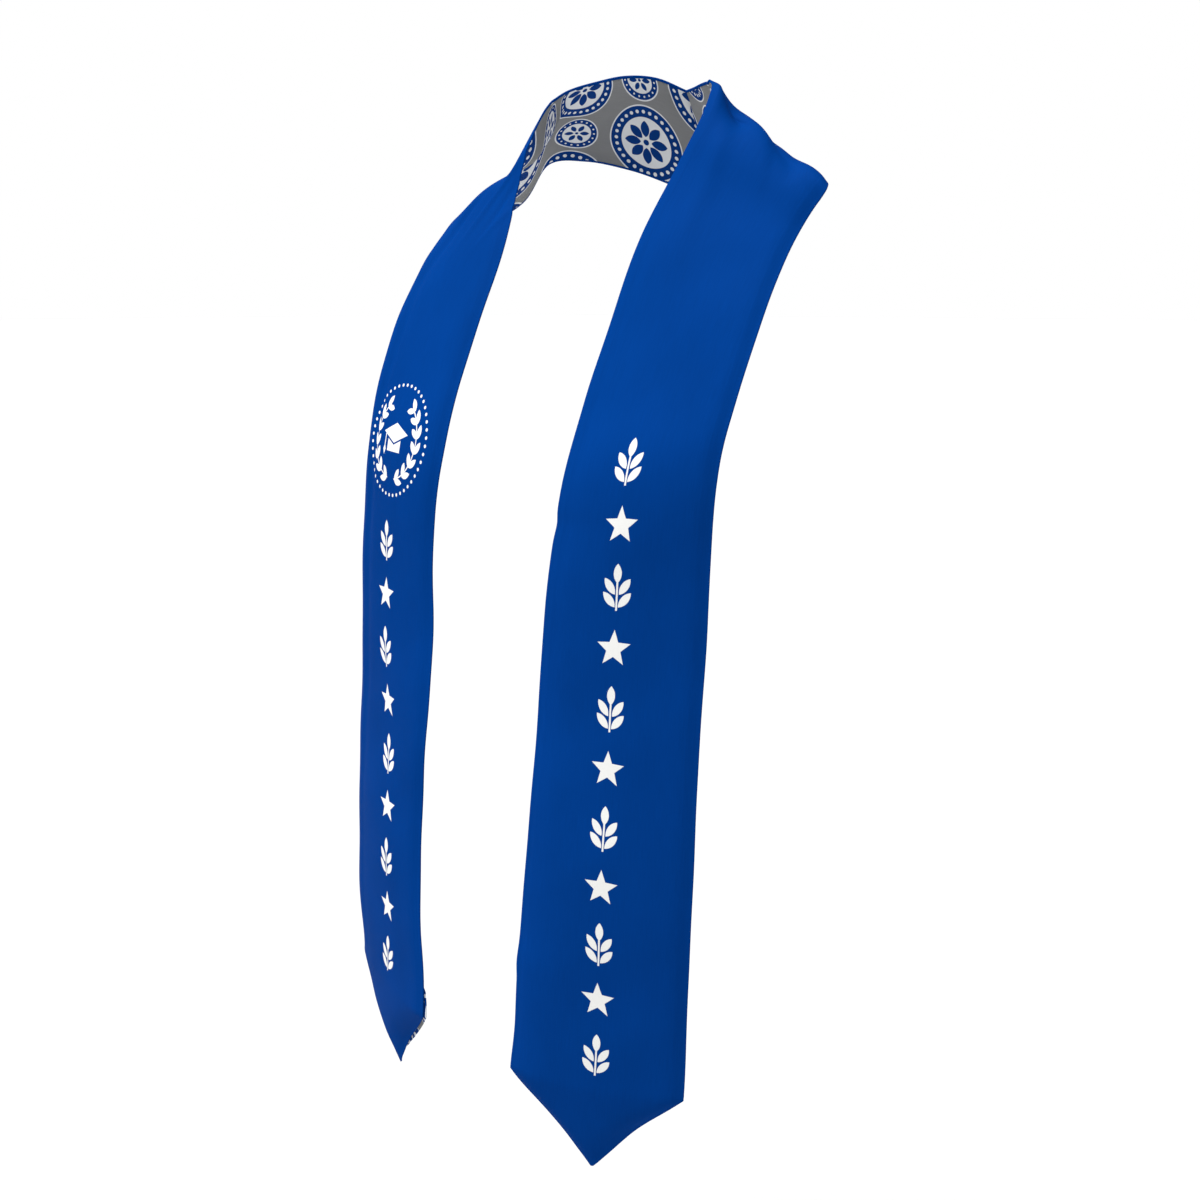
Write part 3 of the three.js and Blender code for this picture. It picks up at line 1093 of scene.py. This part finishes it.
# A medallion's rim in millimetres, and the rest as shares of its disc's radius: the pale field and
# the beads round it, and the petals and the dot in its middle
MEDALLION_RIM = 1.1
FIELD_RADIUS = 0.70
RING_RADIUS = 0.85
RING_BEAD = 0.05
PETAL_START = 0.15
PETAL_END = 0.60
PETAL_HALF_WIDTH = 0.125
DOT_RADIUS = 0.08


def lining_finish(side, colours, prints):
    """Grey lining with round medallions of two sizes, set in half-drop columns."""
    finish = Finish("lining_" + side)
    along, across = finish.flat("cut")
    edge = finish.flat("edge")[0]
    drop, column = prints.medallion_drop / MM, prints.medallion_column / MM
    shift_along, shift_across = LINING_SHIFTS[side]
    x, y = nearest_place(along + shift_along, across + shift_across, drop, column)
    large = medallion(x, y, prints.large_medallion / MM, **LARGE_MEDALLION)
    x, y = nearest_place(along + (shift_along + drop), across + shift_across, drop, column)
    small = medallion(x, y, prints.small_medallion / MM, **SMALL_MEDALLION)
    cloud = finish.streaks(along, across, *STREAKS["lining cloud"])
    parts = {
        "cloud": cloud,
        "slub": finish.streaks(along, across, *STREAKS["lining slub"]),
        # Painted shadow in the crease beside the satin's lip
        "hem": (1 - abs(edge - LINING_HEM) / LINING_HEM_SHADE_WIDTH).limited(),
        "pucker": hem_pucker(along, cloud, 1 - (edge - LINING_HEM) / LINING_PUCKER),
        "weave": satin_weave(finish, along, across),
    }
    shades = [dyed(colours.grey, strength) for strength in LINING_SHADES]
    colour = finish.blend(mixture(LINING_TONE, parts).limited(), *shades)
    pale, navy = dyed(colours.pale), dyed(colours.navy)
    for large_part, small_part, ink in zip(large, small, (pale, navy, pale, navy)):
        colour = finish.blend(inked(large_part.least(small_part)), colour, ink)
    roughness = mixture(LINING_ROUGHNESS, parts)
    relief = mixture(LINING_RELIEF, parts)
    return finish.surface(colour, roughness, relief, {"Specular IOR Level": LINING_GLOSS})


def nearest_place(along, across, drop, column):
    """A point's place round the nearest middle of a half-drop pattern."""
    x_near, y_near = across.wrapped(2 * column), along.wrapped(2 * drop)
    x_far, y_far = (across - column).wrapped(2 * column), (along + drop).wrapped(2 * drop)
    near = spread(x_near, y_near).below(spread(x_far, y_far))
    return x_far + (x_near - x_far) * near, y_far + (y_near - y_far) * near


def medallion(x, y, radius, petal_count, bead_count):
    """Distances outside a medallion's rim, disc, pale print and navy print, in that order."""
    reach = spread(x, y)
    ring = beads(x, y, radius * RING_RADIUS, bead_count, radius * RING_BEAD)
    field = (reach - radius * FIELD_RADIUS).least(ring)
    ends = (radius * PETAL_START, radius * PETAL_END)
    rosette = petals(x, y, petal_count, *ends, radius * PETAL_HALF_WIDTH)
    rosette = rosette.least(reach - radius * DOT_RADIUS)
    return reach - (radius + MEDALLION_RIM), reach - radius, field, rosette


def stage_finish(colour):
    """Pale, even paper for the floor."""
    finish = Finish("pale_floor")
    place = finish.node("ShaderNodeTexCoord", {}, {}, output=3)
    grain = finish.grain(place, scale=3.0, detail=3.0)
    shades = [dyed(colour, strength) for strength in PAPER_SHADES]
    tone = finish.blend((0.5 + grain * 0.5).limited(), *shades)
    roughness = mixture(PAPER_ROUGHNESS, {"grain": grain})
    constants = {"Specular IOR Level": PAPER_GLOSS}
    return finish.surface(tone, roughness, grain * PAPER_RELIEF, constants)


# Pieces


def add_cloth(name, band, outline, finish, node):
    """Makes one cloth piece in the place of its plain solid."""
    mesh = build_mesh(name, band, outline)
    mesh.materials.append(finish)
    piece = bpy.data.objects.new(name, mesh)
    bpy.context.scene.collection.objects.link(piece)
    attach(piece, "root")
    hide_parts(node)
    return piece


class STOLE_OT_shells(bpy.types.Operator):
    """Drapes the two satin shells and prints their marks"""

    bl_idname = "stole.shells"
    bl_label = "Satin shells"

    def execute(self, context):
        scene = context.scene
        for side in ("left", "right"):
            band = Band(side, scene.stole_cut, scene.stole_cloth)
            finish = satin_finish(side, scene.stole_colours, scene.stole_print)
            outline = shell_outline(band, scene.stole_cloth)
            add_cloth("satin_shell_" + side, band, outline, finish, "shell_" + side)
        return {"FINISHED"}


class STOLE_OT_linings(bpy.types.Operator):
    """Drapes the two printed linings inside the shells"""

    bl_idname = "stole.linings"
    bl_label = "Printed linings"

    def execute(self, context):
        scene = context.scene
        for side in ("left", "right"):
            band = Band(side, scene.stole_cut, scene.stole_cloth)
            finish = lining_finish(side, scene.stole_colours, scene.stole_print)
            outline = lining_outline(band, scene.stole_cloth)
            add_cloth("printed_lining_" + side, band, outline, finish, "lining_" + side)
        return {"FINISHED"}


class STOLE_OT_stage(bpy.types.Operator):
    """Adds the pale floor, the soft lights and the camera"""

    bl_idname = "stole.stage"
    bl_label = "Floor, lights and camera"

    def execute(self, context):
        scene = context.scene
        stage = scene.stole_stage
        scene.view_settings.view_transform = "Standard"
        half = stage.floor_size / 2
        height = LOWEST - stage.floor_drop
        corners = [(x, y, height) for y in (-half, half) for x in (-half, half)]
        mesh = bpy.data.meshes.new("floor")
        mesh.from_pydata(corners, [], [(0, 1, 3, 2)])
        mesh.materials.append(stage_finish(stage.floor_colour))
        floor = bpy.data.objects.new("floor", mesh)
        scene.collection.objects.link(floor)
        scene.world = studio_world(stage.fill)
        add_key_light(stage)
        lens = bpy.data.cameras.new("camera")
        lens.lens = stage.lens
        lens.sensor_width = SENSOR_WIDTH
        camera = bpy.data.objects.new("camera", lens)
        camera.location = stage.camera_place
        camera.rotation_euler = (math.pi / 2 - stage.camera_pitch, 0, stage.camera_azimuth)
        scene.collection.objects.link(camera)
        scene.camera = camera
        return {"FINISHED"}


def studio_world(fill):
    """Even fill light, with plain white behind the stole."""
    world = bpy.data.worlds.new("studio")
    world.use_nodes = True
    nodes, links = world.node_tree.nodes, world.node_tree.links
    sky = nodes["Background"]
    sky.inputs["Color"].default_value = (1, 1, 1, 1)
    seen = nodes.new("ShaderNodeLightPath")
    strength = nodes.new("ShaderNodeMapRange")
    strength.inputs["To Min"].default_value = fill
    strength.inputs["To Max"].default_value = 1.0
    links.new(seen.outputs["Is Camera Ray"], strength.inputs["Value"])
    links.new(strength.outputs["Result"], sky.inputs["Strength"])
    return world


def add_key_light(stage):
    """A broad light from the front and above."""
    lamp = bpy.data.lights.new("key_light", "SUN")
    lamp.energy = stage.key
    lamp.angle = stage.key_breadth
    light = bpy.data.objects.new("key_light", lamp)
    light.rotation_euler = (math.pi / 2 - stage.key_height, 0, stage.key_azimuth)
    bpy.context.scene.collection.objects.link(light)


class STOLE_PT_sidebar(bpy.types.Panel):
    """Sizes, colours and the steps that build the stole"""

    bl_label = "Graduation stole"
    bl_idname = "STOLE_PT_sidebar"
    bl_space_type = "VIEW_3D"
    bl_region_type = "UI"
    bl_category = "Stole"

    def draw(self, context):
        for title, group in (("Cut", "stole_cut"), ("Cloth", "stole_cloth"),
                             ("Colours", "stole_colours"), ("Print", "stole_print"),
                             ("Stage", "stole_stage")):
            box = self.layout.box()
            box.label(text=title)
            settings = getattr(context.scene, group)
            for name in settings.bl_rna.properties.keys():
                if name not in ("rna_type", "name"):
                    box.prop(settings, name)
        for operator in OPERATORS:
            self.layout.operator(operator.bl_idname)


GROUPS = {
    "stole_cut": StoleCut,
    "stole_cloth": StoleCloth,
    "stole_colours": StoleColours,
    "stole_print": StolePrint,
    "stole_stage": StoleStage,
}
OPERATORS = (STOLE_OT_shells, STOLE_OT_linings, STOLE_OT_stage)


def register():
    """Registers the settings, the operators and the panel."""
    for name, group in GROUPS.items():
        bpy.utils.register_class(group)
        setattr(bpy.types.Scene, name, PointerProperty(type=group))
    for operator in OPERATORS:
        bpy.utils.register_class(operator)
    bpy.utils.register_class(STOLE_PT_sidebar)


def unregister():
    """Takes back what register added."""
    bpy.utils.unregister_class(STOLE_PT_sidebar)
    for operator in reversed(OPERATORS):
        bpy.utils.unregister_class(operator)
    for name, group in GROUPS.items():
        delattr(bpy.types.Scene, name)
        bpy.utils.unregister_class(group)


def main():
    """Builds the stole and its stage."""
    register()
    bpy.ops.stole.shells()
    bpy.ops.stole.linings()
    bpy.ops.stole.stage()


if __name__ == "__main__":
    main()
